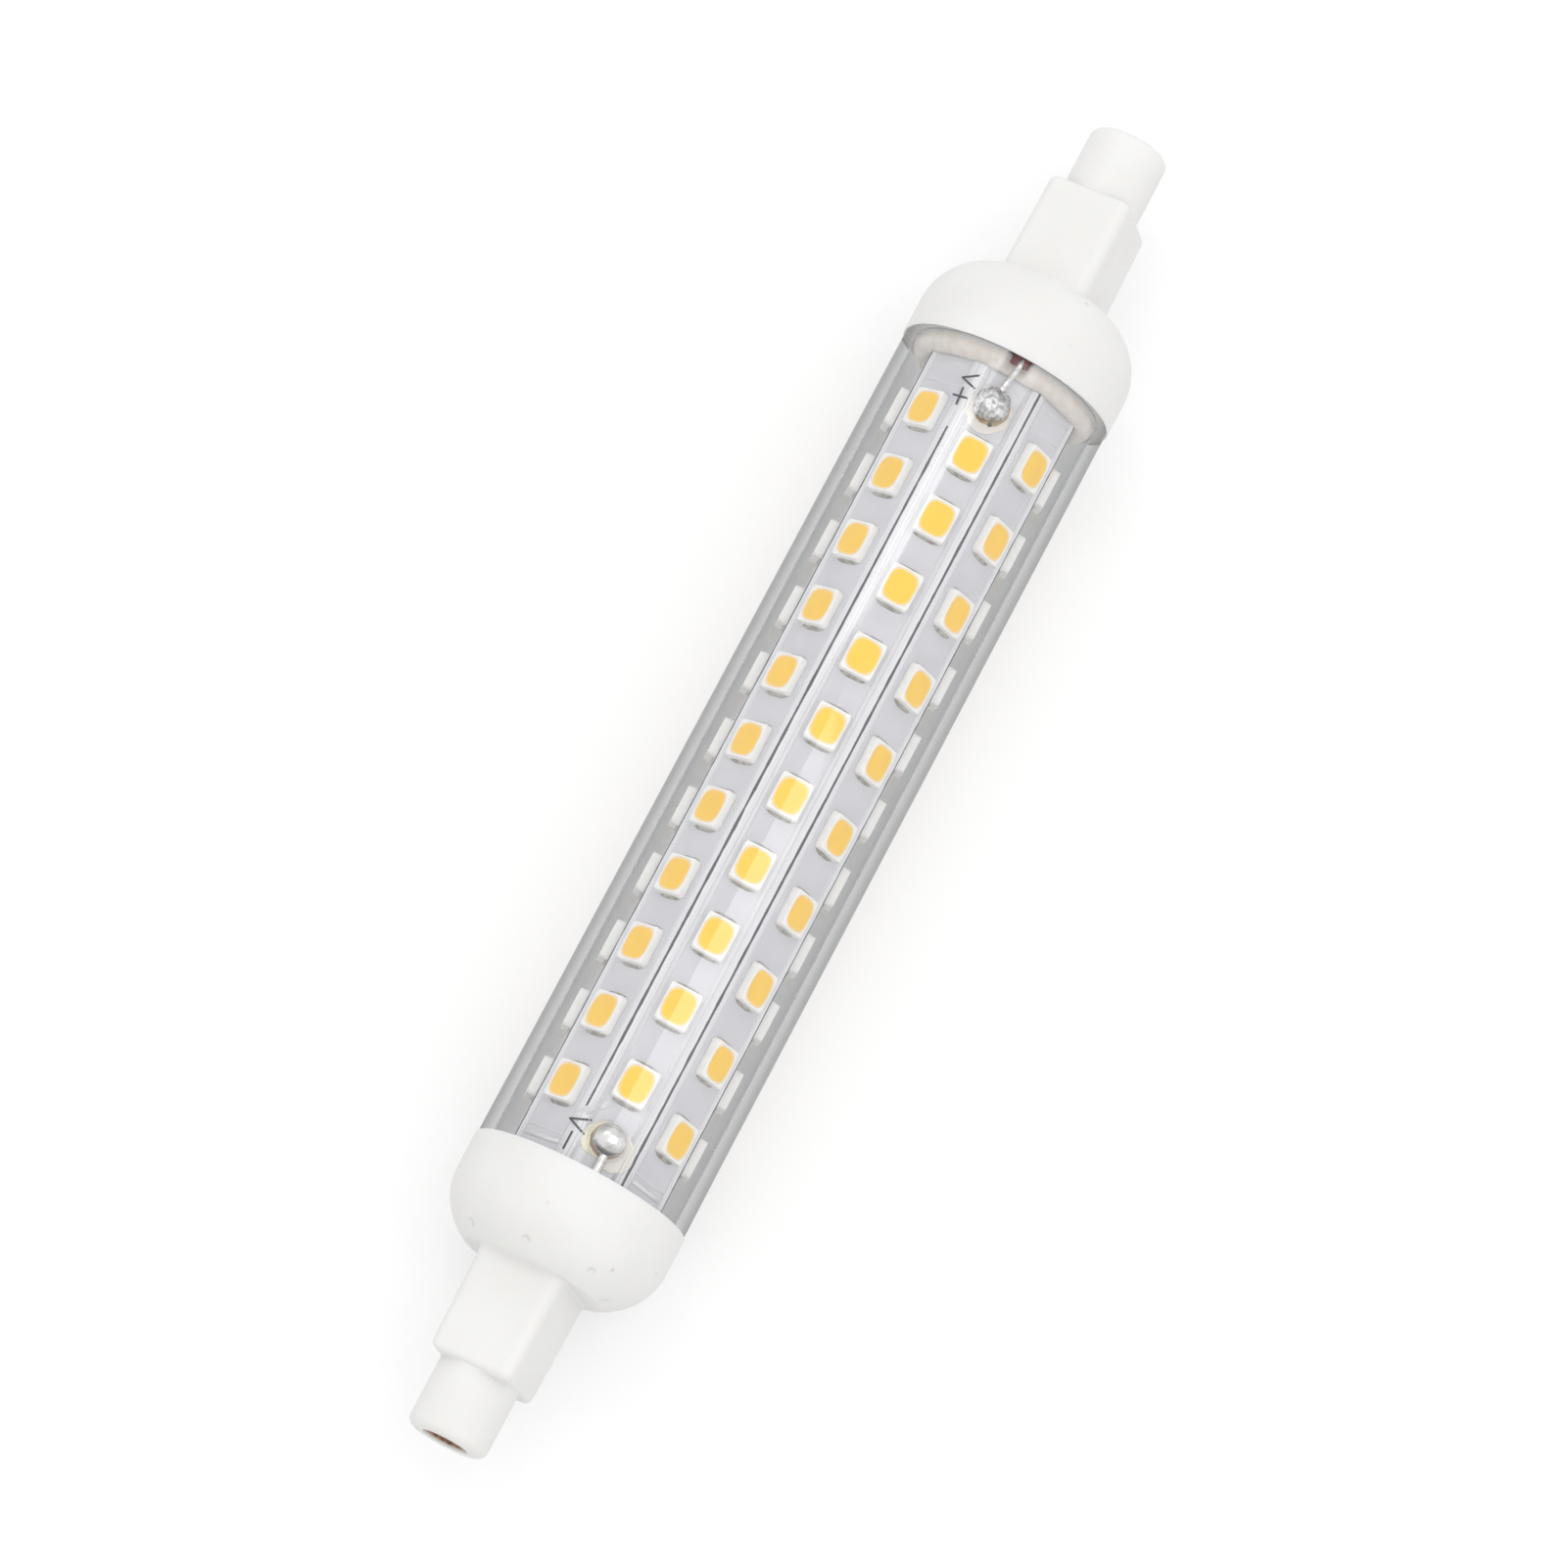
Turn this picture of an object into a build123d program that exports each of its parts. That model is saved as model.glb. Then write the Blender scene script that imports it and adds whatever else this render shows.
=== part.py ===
from build123d import *
import math
import os

# A double-ended LED tube lamp, in millimetres. It lies along X with its V+ end towards +X. The face of
# the folded LED board that carries the two solder joints looks up, towards +Z. The origin is the middle
# of the lamp.

# Clear sleeve between the caps
tube_length = 73.0
tube_radius = 8.95
tube_wall = 1.0

# Ceramic end caps, measured outwards from the rim
cap_overhang = 0.15
cap_wall = 1.3
cap_straight = 3.1
dome_length = 4.75
dome_share = 0.9
dome_half_height = 5.65
dome_steps = 5
cavity_floor = 1.8
cavity_chamfer = 3.0
rib_count = 4
rib_thickness = 1.2
rib_reach = 2.6
rib_setback = 2.0

# Squared neck and round post of a cap
neck_width = 7.15
neck_depth = 7.8
neck_length = 8.85
neck_draft = 1.0
neck_turn = -19.5
neck_edge_radius = 0.8
post_radius = 3.35
post_length = 5.8
post_edge = 0.6
recess_radius = 1.95
recess_depth = 2.6

# Cup-shaped contact in the recess
contact_clearance = 0.1
contact_setback = 0.3
contact_wall = 0.3
contact_thickness = 0.5
contact_crown = 0.35
stem_radius = 0.6
stem_length = 4.0
channel_clearance = 0.1

# LED board, one strip folded into an eight-sided tube that leaves a gap between its packages and the sleeve
face_count = 8
led_top_gap = 0.8
board_thickness = 1.0
board_plus_gap = 1.1
board_turn = 1.56
score_width = 0.26
score_depth = 0.35
seam_width = 0.2

# LED packages
led_length = 3.3
led_width = 2.8
led_height = 0.72
led_draft = 5.0
window_length = 2.72
window_width = 2.34
window_corner = 0.5
fill_height = 0.04
solder_reach = 0.3
solder_height = 0.28
solder_width = 2.1

# Rows of packages: how far the first and last ones stay from the board's V- and V+ ends, and how many.
# The middle face has its end packages nudged to make room for the solder joints.
middle_row_inset_minus = 16.7
middle_row_inset_plus = 13.2
middle_row_count = 8
middle_end_inset_minus = 9.8
middle_end_inset_plus = 7.4
short_row_inset_minus = 7.9
short_row_inset_plus = 5.3
short_row_count = 10
long_row_inset_minus = 7.9
long_row_inset_plus = 5.1
long_row_count = 11

# Solder joints on the middle face, inset from the board's ends. Sideways places are along Y before the
# board is turned.
plus_joint_inset = 2.9
plus_joint_y = 0.34
plus_joint_radius = 1.4
minus_joint_inset = 5.0
minus_joint_y = -0.16
minus_joint_radius = 1.27
joint_foot_share = 0.8
joint_waist_height = 0.5
joint_rise = 0.75
joint_crown_share = 0.55

# Leads from the driver board round the LED board's ends to the solder joints. The red one is the thicker.
wire_sides = 6
wire_seat = 0.04
wire_embed = 0.7
plus_wire_radius = 0.24
plus_insulation_radius = 0.95
plus_insulation_gap = 0.4
plus_lead_y = -0.19
plus_lead_lift = 0.2
minus_wire_radius = 0.34
minus_insulation_radius = 0.75
minus_lead_y = -0.36
lead_low_z = 2.3
lead_pad_y = -2.6
lead_pad_run = 2.2
lead_edge_gap = 0.5
lead_rise_run = 2.0
lead_turn_gap = 0.6
pad_bend = 1.0
rise_bend = 1.5
joint_bend = 0.8
insulation_start = 0.35

# Straight leads on the axis from the contacts to the driver board
mains_wire_radius = 0.28
mains_insulation_radius = 0.65
mains_strip = 1.4
mains_pad_run = 2.6
pad_solder_radius = 0.8
pad_solder_height = 0.75
pad_solder_draft = 25.0

# Insulating liner and driver board inside the folded tube
liner_thickness = 0.25
liner_setback = 0.8
driver_inset_minus = 7.5
driver_inset_plus = 6.4
driver_side_gap = 0.1
driver_thickness = 1.0

# Parts on the driver board's upper side. A part's share is its place along the driver board.
resistor_share = 0.2
resistor_length = 6.4
resistor_width = 3.2
resistor_height = 0.7
capacitor_share = 0.62
capacitor_fill = 0.485
capacitor_headroom = 0.65
capacitor_edge = 0.4
capacitor_foot_margin = 0.15
capacitor_foot_height = 0.6

# Parts on the driver board's underside
package_height = 1.4
package_standoff = 0.1
package_draft = 7.0
rectifier_share = 0.23
rectifier_length = 4.7
rectifier_width = 3.9
rectifier_leg_pitch = 2.5
regulator_share = 0.45
regulator_length = 4.9
regulator_width = 3.9
regulator_leg_pitch = 1.27
leg_width = 0.5
leg_thickness = 0.2
leg_knee = 0.45
leg_reach = 1.0
leg_root_height = 0.6
chip_length = 2.0
chip_width = 1.25
chip_height = 0.55
chip_row_share = 0.6
chip_pitch = 3.0
chip_count = 4
chip_capacitor_share = 0.87
chip_capacitor_length = 3.2
chip_capacitor_width = 2.5
chip_capacitor_height = 1.6

# Places that follow from the sizes above
rim_x = tube_length / 2
cap_radius = tube_radius + cap_overhang
cap_bore = cap_radius - cap_wall
dome_x = rim_x + cap_straight
dome_top_x = dome_x + dome_length
floor_x = dome_top_x - cavity_floor
ledge_x = rim_x + rib_setback
shoulder_x = dome_top_x + neck_length
post_end_x = shoulder_x + post_length
recess_floor_x = post_end_x - recess_depth
stem_end_x = recess_floor_x - stem_length
channel_radius = mains_insulation_radius + channel_clearance
fold_angle = 360 / face_count
board_apothem = tube_radius - tube_wall - led_top_gap - led_height - fill_height
board_corner = board_apothem / math.cos(math.radians(fold_angle / 2))
board_minus_x = -ledge_x
board_plus_x = rim_x - board_plus_gap
plus_joint_x = board_plus_x - plus_joint_inset
minus_joint_x = board_minus_x + minus_joint_inset
board_inner = board_apothem - board_thickness
liner_inner = board_inner - liner_thickness
driver_width = 2 * (liner_inner - driver_side_gap)
driver_top_z = -mains_wire_radius - wire_seat
driver_under_z = driver_top_z - driver_thickness
driver_minus_x = board_minus_x + driver_inset_minus
driver_plus_x = board_plus_x - driver_inset_plus
capacitor_radius = capacitor_fill * liner_inner
capacitor_height = liner_inner - capacitor_headroom - capacitor_foot_height - driver_top_z


def across(x, turn=0.0):
    """A plane square to the lamp's axis at x, its first direction along +Y turned about the axis."""
    angle = math.radians(turn)
    return Plane(origin=(x, 0, 0), x_dir=(0, math.cos(angle), math.sin(angle)), z_dir=(1, 0, 0))


def rod(start_x, end_x, radius):
    """A round bar on the lamp's axis."""
    return extrude(across(start_x) * Circle(radius), end_x - start_x)


def ring(start_x, end_x, outer_radius, inner_radius):
    """A round tube on the lamp's axis."""
    return extrude(across(start_x) * (Circle(outer_radius) - Circle(inner_radius)), end_x - start_x)


def turned(outline):
    """A solid turned about the lamp's axis from points given as place along X and radius."""
    return revolve(make_face(Polyline(*outline, close=True)), Axis.X)


def other_end(shape):
    """The same piece at the other end of the lamp."""
    return mirror(shape, about=Plane.YZ)


def swept(points, bends, section):
    """A section carried along straight runs joined by round bends."""
    path = FilletPolyline(*points, radius=bends) if bends else Polyline(*points)
    return sweep(Plane(path @ 0, z_dir=path % 0) * section, path=path)


def wire_section(radius):
    """Flat-sided section that stands for a thin round wire."""
    return RegularPolygon(radius, wire_sides)


def part_way(start, end, share):
    """The point at a share of the way between two points."""
    return tuple(a + (b - a) * share for a, b in zip(start, end))


def cap_dome():
    """Straight rim and rounded dome, solid all through. The rounding follows an ellipse in short runs."""
    half_length = dome_length / dome_share
    ellipse_height = cap_radius - dome_half_height
    flattest = math.acos(dome_share)
    outline = [(dome_top_x, 0), (rim_x, 0), (rim_x, cap_radius)]
    for index in range(dome_steps + 1):
        angle = math.pi / 2 + (flattest - math.pi / 2) * index / dome_steps
        x = dome_x + half_length * math.cos(angle)
        outline.append((x, ellipse_height + dome_half_height * math.sin(angle)))
    return turned(outline)


def cap_neck():
    """Squared neck with drafted sides and rounded corners, turned about the axis."""
    growth = 2 * neck_length * math.tan(math.radians(neck_draft))
    foot = RectangleRounded(neck_width + growth, neck_depth + growth, neck_edge_radius)
    return extrude(across(dome_top_x, neck_turn) * foot, neck_length, taper=neck_draft)


def cap_post():
    """Round post that the lampholder grips, with a bevelled end."""
    return turned(
        [
            (dome_top_x, 0),
            (dome_top_x, post_radius),
            (post_end_x - post_edge, post_radius),
            (post_end_x, post_radius - post_edge),
            (post_end_x, 0),
        ]
    )


def cap_cavity():
    """Room inside the dome, narrowing to its floor."""
    return turned(
        [
            (rim_x, 0),
            (rim_x, cap_bore),
            (floor_x - cavity_chamfer, cap_bore),
            (floor_x, cap_bore - cavity_chamfer),
            (floor_x, 0),
        ]
    )


def cap_ribs():
    """Ribs inside the dome whose ends are the seat of the LED board."""
    rib_height = cap_bore + cap_wall / 2 - (board_corner - rib_reach)
    middle = board_corner - rib_reach + rib_height / 2
    length = floor_x + cavity_floor / 2 - ledge_x
    rib = Pos(ledge_x + length / 2, 0, middle) * Box(length, rib_thickness, rib_height)
    step = 360 / rib_count
    return [Rot(X=board_turn + step * (index + 0.5)) * rib for index in range(rib_count)]


def end_cap():
    """One-piece ceramic cap at the V+ end: dome, neck and post, hollow inside."""
    dome = cap_dome()
    body = dome - cap_cavity()
    for rib in cap_ribs():
        body += rib & dome
    body += cap_neck()
    body += cap_post()
    body -= rod(floor_x, recess_floor_x, channel_radius)
    body -= rod(recess_floor_x, post_end_x, recess_radius)
    return body


def contact():
    """Metal cup with a crowned floor that lines the recess, on a stem that runs back through the cap."""
    cup_radius = recess_radius - contact_clearance
    cup_bore = cup_radius - contact_wall
    inner_floor_x = recess_floor_x + contact_thickness
    lip_x = post_end_x - contact_setback
    return turned(
        [
            (stem_end_x, 0),
            (stem_end_x, stem_radius),
            (recess_floor_x, stem_radius),
            (recess_floor_x, cup_radius),
            (lip_x, cup_radius),
            (lip_x, cup_bore),
            (inner_floor_x, cup_bore),
            (inner_floor_x + contact_crown, 0),
        ]
    )


def octagon(apothem):
    """The board's section, with one flat side up."""
    return RegularPolygon(apothem, face_count, major_radius=False, rotation=fold_angle / 2)


def led_board():
    """Folded strip: an eight-sided tube with scored corners and an open seam at the back."""
    length = board_plus_x - board_minus_x
    board = extrude(across(board_minus_x) * (octagon(board_apothem) - octagon(board_inner)), length)
    score = Polygon(
        (-score_width / 2, board_corner),
        (score_width / 2, board_corner),
        (0, board_corner - score_depth),
        align=None,
    )
    seam_height = board_corner - board_inner
    seam = Pos(0, board_inner + seam_height / 2) * Rectangle(seam_width, seam_height)
    for index in range(face_count):
        cut = seam if index == face_count // 2 else score
        corner = Rot(Z=fold_angle * (index + 0.5)) * cut
        board -= extrude(across(board_minus_x) * corner, length)
    return board


def liner():
    """Insulating sleeve against the inside of the folded board."""
    start_x = board_minus_x + liner_setback
    end_x = board_plus_x - liner_setback
    return extrude(across(start_x) * (octagon(board_inner) - octagon(liner_inner)), end_x - start_x)


def spread(inset_minus, inset_plus, count):
    """Evenly spaced places along X between insets from the board's two ends."""
    first = board_minus_x + inset_minus
    step = (board_plus_x - inset_plus - first) / (count - 1)
    return [first + step * index for index in range(count)]


def row_places(face):
    """Places along X of the packages on one face, the faces being counted from the middle one."""
    if face == 0:
        inner = spread(middle_row_inset_minus, middle_row_inset_plus, middle_row_count)
        ends = (board_minus_x + middle_end_inset_minus, board_plus_x - middle_end_inset_plus)
        return [ends[0]] + inner + [ends[1]]
    if face == 1:
        return spread(short_row_inset_minus, short_row_inset_plus, short_row_count)
    return spread(long_row_inset_minus, long_row_inset_plus, long_row_count)


def on_face(face, x):
    """Where a package sits: the middle of its footprint on the face, looking outwards."""
    return Rot(X=fold_angle * face) * Pos(x, 0, board_apothem)


def led_housing():
    """White moulded package with drafted sides."""
    return extrude(Rectangle(led_length, led_width), led_height, taper=led_draft)


def led_fill():
    """Phosphor fill that shows in the window on top of a package."""
    window = chamfer(Rectangle(window_length, window_width).vertices(), window_corner)
    return extrude(Pos(0, 0, led_height) * window, fill_height)


def led_solder():
    """Solder fillet at one short end of a package."""
    foot = led_length / 2
    wedge = Polygon((foot, 0), (foot + solder_reach, 0), (foot, solder_height), align=None)
    return extrude(Plane.XZ * wedge, solder_width / 2, both=True)


def led_groups():
    """Three nodes for each face: the packages, their fills and their solder."""
    housing = led_housing()
    fill = led_fill()
    solder = led_solder()
    ends = [solder, other_end(solder)]
    groups = {}
    for face in range(face_count):
        seats = [on_face(face, x) for x in row_places(face)]
        groups[f"led_housings_{face + 1}"] = [seat * housing for seat in seats]
        groups[f"led_phosphors_{face + 1}"] = [seat * fill for seat in seats]
        groups[f"led_solder_{face + 1}"] = [seat * end for seat in seats for end in ends]
    return groups


def solder_ball(x, y, radius):
    """Blob of solder on the middle face, flat underneath and fullest at its waist."""
    top = joint_waist_height + joint_rise
    outline = Polyline(
        (0, 0),
        (radius * joint_foot_share, 0),
        (radius, joint_waist_height),
        (radius * joint_crown_share, top),
        (0, top),
        close=True,
    )
    return Pos(x, y, board_apothem) * revolve(Plane.XZ * make_face(outline), Axis.Z)


def lead_points(end_x, board_end_x, wire_radius, lead_y):
    """The part of a lead's route that both leads share: from its pad on the driver board at end_x, up
    inside the folded board and round the board's end at board_end_x."""
    away = math.copysign(1, board_end_x)
    pad_z = driver_top_z + wire_radius + wire_seat
    high = board_apothem + wire_radius + wire_seat
    far_x = board_end_x + away * (lead_turn_gap + (high - lead_low_z) / 2)
    return [
        (end_x - away * lead_pad_run, lead_pad_y, pad_z),
        (end_x - away * lead_edge_gap, lead_pad_y, pad_z),
        (board_end_x - away * lead_rise_run, lead_y, lead_low_z),
        (far_x, lead_y, lead_low_z),
        (far_x, lead_y, high),
    ]


def lead_bends(wire_radius):
    """Bend radii at the shared inner points: at the pad, at the top of the rise and round the end."""
    turn = (board_apothem + wire_radius + wire_seat - lead_low_z) / 2 - 0.01
    return [pad_bend, rise_bend, turn, turn]


def plus_lead():
    """Red lead to the V+ joint: its two bare wire ends and its insulation."""
    shared = lead_points(driver_plus_x, board_plus_x, plus_wire_radius, plus_lead_y)
    high = shared[-1][2]
    start = part_way(shared[1], shared[2], insulation_start)
    stop = (board_plus_x + plus_insulation_gap, plus_lead_y, high)
    board_end = (board_plus_x, plus_lead_y, high)
    joint_x = plus_joint_x + plus_joint_radius - wire_embed
    joint = (joint_x, plus_joint_y, high + plus_lead_lift)
    bends = lead_bends(plus_wire_radius)
    wire = wire_section(plus_wire_radius)
    pad_end = swept([shared[0], shared[1], start], bends[:1], wire)
    joint_end = swept([stop, board_end, joint], [joint_bend], wire)
    sleeve = swept([start] + shared[2:] + [stop], bends[1:], wire_section(plus_insulation_radius))
    return [pad_end, joint_end], sleeve


def minus_lead():
    """Lead to the V- joint: its wire, bare round the board's end and at its pad, and its insulation."""
    shared = lead_points(driver_minus_x, board_minus_x, minus_wire_radius, minus_lead_y)
    start = part_way(shared[1], shared[2], insulation_start)
    stop = (board_minus_x - lead_turn_gap / 2, minus_lead_y, lead_low_z)
    joint_x = minus_joint_x - minus_joint_radius + wire_embed
    joint = (joint_x, minus_lead_y, shared[-1][2])
    bends = lead_bends(minus_wire_radius)
    wire = wire_section(minus_wire_radius)
    pad_end = swept([shared[0], shared[1], start], bends[:1], wire)
    joint_end = swept([stop] + shared[3:] + [joint], bends[2:], wire)
    sleeve = swept([start, shared[2], stop], bends[1:2], wire_section(minus_insulation_radius))
    return [pad_end, joint_end], sleeve


def mains_lead(driver_end_x):
    """Straight lead from a contact to the end of the driver board: its bare wire ends and insulation."""
    away = math.copysign(1, driver_end_x)
    pad = (driver_end_x - away * mains_pad_run, 0, 0)
    near = (driver_end_x + away * lead_edge_gap, 0, 0)
    far = (away * (stem_end_x - mains_strip), 0, 0)
    stem = (away * stem_end_x, 0, 0)
    wire = wire_section(mains_wire_radius)
    ends = [swept([pad, near], None, wire), swept([far, stem], None, wire)]
    return ends, swept([near, far], None, wire_section(mains_insulation_radius))


def pad_solder(x, y, wires):
    """Solder round a wire's end on the driver board."""
    pad = Pos(x, y, driver_top_z) * RegularPolygon(pad_solder_radius, wire_sides)
    return extrude(pad, pad_solder_height, taper=pad_solder_draft) - wires[0]


def along_driver(share):
    """The place along X at a share of the driver board's length."""
    return driver_minus_x + (driver_plus_x - driver_minus_x) * share


def driver_board():
    """Narrow circuit board across the inside of the liner."""
    length = driver_plus_x - driver_minus_x
    middle_x = (driver_plus_x + driver_minus_x) / 2
    middle_z = driver_top_z - driver_thickness / 2
    return Pos(middle_x, 0, middle_z) * Box(length, driver_width, driver_thickness)


def fusible_resistor():
    """Flat resistor that fails open if the driver does."""
    middle_z = driver_top_z + resistor_height / 2
    body = Box(resistor_length, resistor_width, resistor_height)
    return Pos(along_driver(resistor_share), 0, middle_z) * body


def capacitor_can():
    """Smoothing capacitor's can, upright on its foot."""
    outline = Polyline(
        (0, 0),
        (capacitor_radius, 0),
        (capacitor_radius, capacitor_height - capacitor_edge),
        (capacitor_radius - capacitor_edge, capacitor_height),
        (0, capacitor_height),
        close=True,
    )
    can = revolve(Plane.XZ * make_face(outline), Axis.Z)
    return Pos(along_driver(capacitor_share), 0, driver_top_z + capacitor_foot_height) * can


def capacitor_base():
    """Square moulded foot under the can."""
    side = 2 * (capacitor_radius + capacitor_foot_margin)
    middle_z = driver_top_z + capacitor_foot_height / 2
    return Pos(along_driver(capacitor_share), 0, middle_z) * Box(side, side, capacitor_foot_height)


def under_board(x):
    """A place on the driver board's underside, looking down."""
    return Pos(x, 0, driver_under_z) * Rot(X=180)


def package_body(x, length, width):
    """Moulded body of a package on the underside."""
    outline = Pos(0, 0, package_standoff) * Rectangle(length, width)
    return under_board(x) * extrude(outline, package_height, taper=package_draft)


def package_legs(x, width, pitch, count):
    """Bent legs along both long sides of a package."""
    root = width / 2
    knee = root + leg_knee
    bend = Polygon(
        (root, leg_root_height + leg_thickness),
        (knee, leg_root_height + leg_thickness),
        (knee, leg_thickness),
        (root + leg_reach, leg_thickness),
        (root + leg_reach, 0),
        (knee - leg_thickness, 0),
        (knee - leg_thickness, leg_root_height),
        (root, leg_root_height),
        align=None,
    )
    leg = extrude(Plane.YZ * bend, leg_width / 2, both=True)
    legs = []
    for index in range(count):
        place = Pos((index - (count - 1) / 2) * pitch, 0, 0)
        legs.append(under_board(x) * place * leg)
        legs.append(under_board(x) * place * mirror(leg, about=Plane.XZ))
    return legs


def chip(x, length, width, height):
    """A plain chip part on the underside."""
    return under_board(x) * Pos(0, 0, height / 2) * Box(length, width, height)


def driver_nodes():
    """The driver board with its parts and its leads."""
    plus_wire, plus_insulation = plus_lead()
    minus_wire, minus_insulation = minus_lead()
    mains_wire_plus, mains_insulation_plus = mains_lead(driver_plus_x)
    mains_wire_minus, mains_insulation_minus = mains_lead(driver_minus_x)
    plus_ball = solder_ball(plus_joint_x, plus_joint_y, plus_joint_radius)
    minus_ball = solder_ball(minus_joint_x, minus_joint_y, minus_joint_radius)
    rectifier_x = along_driver(rectifier_share)
    regulator_x = along_driver(regulator_share)
    mains_inset = mains_pad_run - pad_solder_radius / 2
    lead_inset = lead_pad_run - pad_solder_radius / 2
    return {
        "liner": liner(),
        "driver_board": driver_board(),
        "fusible_resistor": fusible_resistor(),
        "smoothing_capacitor": capacitor_can(),
        "capacitor_base": capacitor_base(),
        "bridge_rectifier": package_body(rectifier_x, rectifier_length, rectifier_width),
        "rectifier_legs": package_legs(rectifier_x, rectifier_width, rectifier_leg_pitch, 2),
        "current_regulator": package_body(regulator_x, regulator_length, regulator_width),
        "regulator_legs": package_legs(regulator_x, regulator_width, regulator_leg_pitch, 4),
        "chip_resistors": [
            chip(along_driver(chip_row_share) + chip_pitch * index, chip_length, chip_width, chip_height)
            for index in range(chip_count)
        ],
        "chip_capacitor": chip(
            along_driver(chip_capacitor_share),
            chip_capacitor_length,
            chip_capacitor_width,
            chip_capacitor_height,
        ),
        "plus_lead_wire": plus_wire,
        "plus_lead_insulation": plus_insulation,
        "minus_lead_wire": minus_wire,
        "minus_lead_insulation": minus_insulation,
        "mains_wire_plus": mains_wire_plus,
        "mains_insulation_plus": mains_insulation_plus,
        "mains_wire_minus": mains_wire_minus,
        "mains_insulation_minus": mains_insulation_minus,
        "solder_joint_plus": plus_ball - plus_wire[1],
        "solder_joint_minus": minus_ball - minus_wire[1],
        "driver_solder": [
            pad_solder(driver_plus_x - mains_inset, 0, mains_wire_plus),
            pad_solder(driver_minus_x + mains_inset, 0, mains_wire_minus),
            pad_solder(driver_plus_x - lead_inset, lead_pad_y, plus_wire),
            pad_solder(driver_minus_x + lead_inset, lead_pad_y, minus_wire),
        ],
    }


def in_board_turn(piece):
    """A node, one solid or a group, turned with the folded board about the lamp's axis."""
    if isinstance(piece, list):
        return [Rot(X=board_turn) * solid for solid in piece]
    return Rot(X=board_turn) * piece


def lamp_nodes():
    """Every node of the lamp by name."""
    cap = end_cap()
    button = contact()
    nodes = {
        "end_cap_plus": cap,
        "end_cap_minus": other_end(cap),
        "contact_plus": button,
        "contact_minus": other_end(button),
        "tube": ring(-rim_x, rim_x, tube_radius, tube_radius - tube_wall),
    }
    inner = {"led_board": led_board(), **led_groups(), **driver_nodes()}
    for name, piece in inner.items():
        nodes[name] = in_board_turn(piece)
    return nodes


os.makedirs("parts", exist_ok=True)
for name, piece in lamp_nodes().items():
    shape = Compound(piece) if isinstance(piece, list) else piece
    export_step(shape, f"parts/{name}.step")
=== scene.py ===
import math
import random

import bmesh
import bpy
from mathutils import Matrix, Vector, noise


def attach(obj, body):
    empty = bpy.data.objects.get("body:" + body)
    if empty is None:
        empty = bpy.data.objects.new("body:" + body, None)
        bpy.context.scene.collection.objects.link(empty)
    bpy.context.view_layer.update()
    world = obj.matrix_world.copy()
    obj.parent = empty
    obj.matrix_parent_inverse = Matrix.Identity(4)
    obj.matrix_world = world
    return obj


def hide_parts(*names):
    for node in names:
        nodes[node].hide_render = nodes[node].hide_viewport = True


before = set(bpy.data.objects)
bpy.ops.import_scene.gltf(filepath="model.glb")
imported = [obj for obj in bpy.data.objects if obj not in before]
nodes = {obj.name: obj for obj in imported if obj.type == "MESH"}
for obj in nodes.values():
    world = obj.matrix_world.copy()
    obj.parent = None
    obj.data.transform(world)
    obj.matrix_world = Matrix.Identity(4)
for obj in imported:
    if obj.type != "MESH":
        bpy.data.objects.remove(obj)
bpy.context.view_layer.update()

# Sizes of the lamp in millimetres. The lamp lies along X, V+ end towards +X, and the board's middle face
# looks up. The tube's ends reach into the caps' rims, from RIM_X to SEAT_X.
RIM_X = 36.5
SEAT_X = 36.8
TUBE_RADIUS = 8.95
TUBE_BORE = 7.95
BOARD_APOTHEM = 6.39
BOARD_MINUS_X = -38.5
BOARD_PLUS_X = 35.4
BOARD_TURN = math.radians(1.56)
CAP_RADIUS = 9.1
CAP_BORE = 7.8
LIP_BORE = TUBE_RADIUS + 0.015
CAVITY_FLOOR_X = 42.55
STEM_BORE = 0.75
DOME_X = 39.6
DOME_TOP_X = 44.35
DOME_HALF_LENGTH = 5.278
DOME_HALF_HEIGHT = 5.65
NECK_HALF_WIDTH = 3.575
NECK_HALF_DEPTH = 3.9
NECK_DRAFT = math.tan(math.radians(1.0))
NECK_TURN = math.radians(-19.5)
NECK_CORNER = 0.8
SHOULDER_X = 53.2
POST_RADIUS = 3.35
POST_END_X = 59.0
RECESS_RADIUS = 1.95
RECESS_FLOOR_X = 56.4
LED_HALF_LENGTH = 1.65
LED_HALF_WIDTH = 1.4
LED_TOP = 0.76
WINDOW_HALF_LENGTH = 1.42
WINDOW_HALF_WIDTH = 1.235
# Centre and radius of each shallow dent in the V- dome.
DIMPLES = (((-43.58, 6.09, 3.77), 0.48), ((-43.34, 1.77, 7.22), 0.46), ((-43.09, -3.79, 6.68), 0.46),
           ((-44.05, -5.77, 2.97), 0.42), ((-40.42, -8.33, 3.48), 0.25), ((-40.38, 1.62, 8.89), 0.22))
# Place along X, place across and radius of each solder ball.
PLUS_JOINT = (32.5, 0.34, 1.4)
MINUS_JOINT = (-33.5, -0.16, 1.33)


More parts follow.
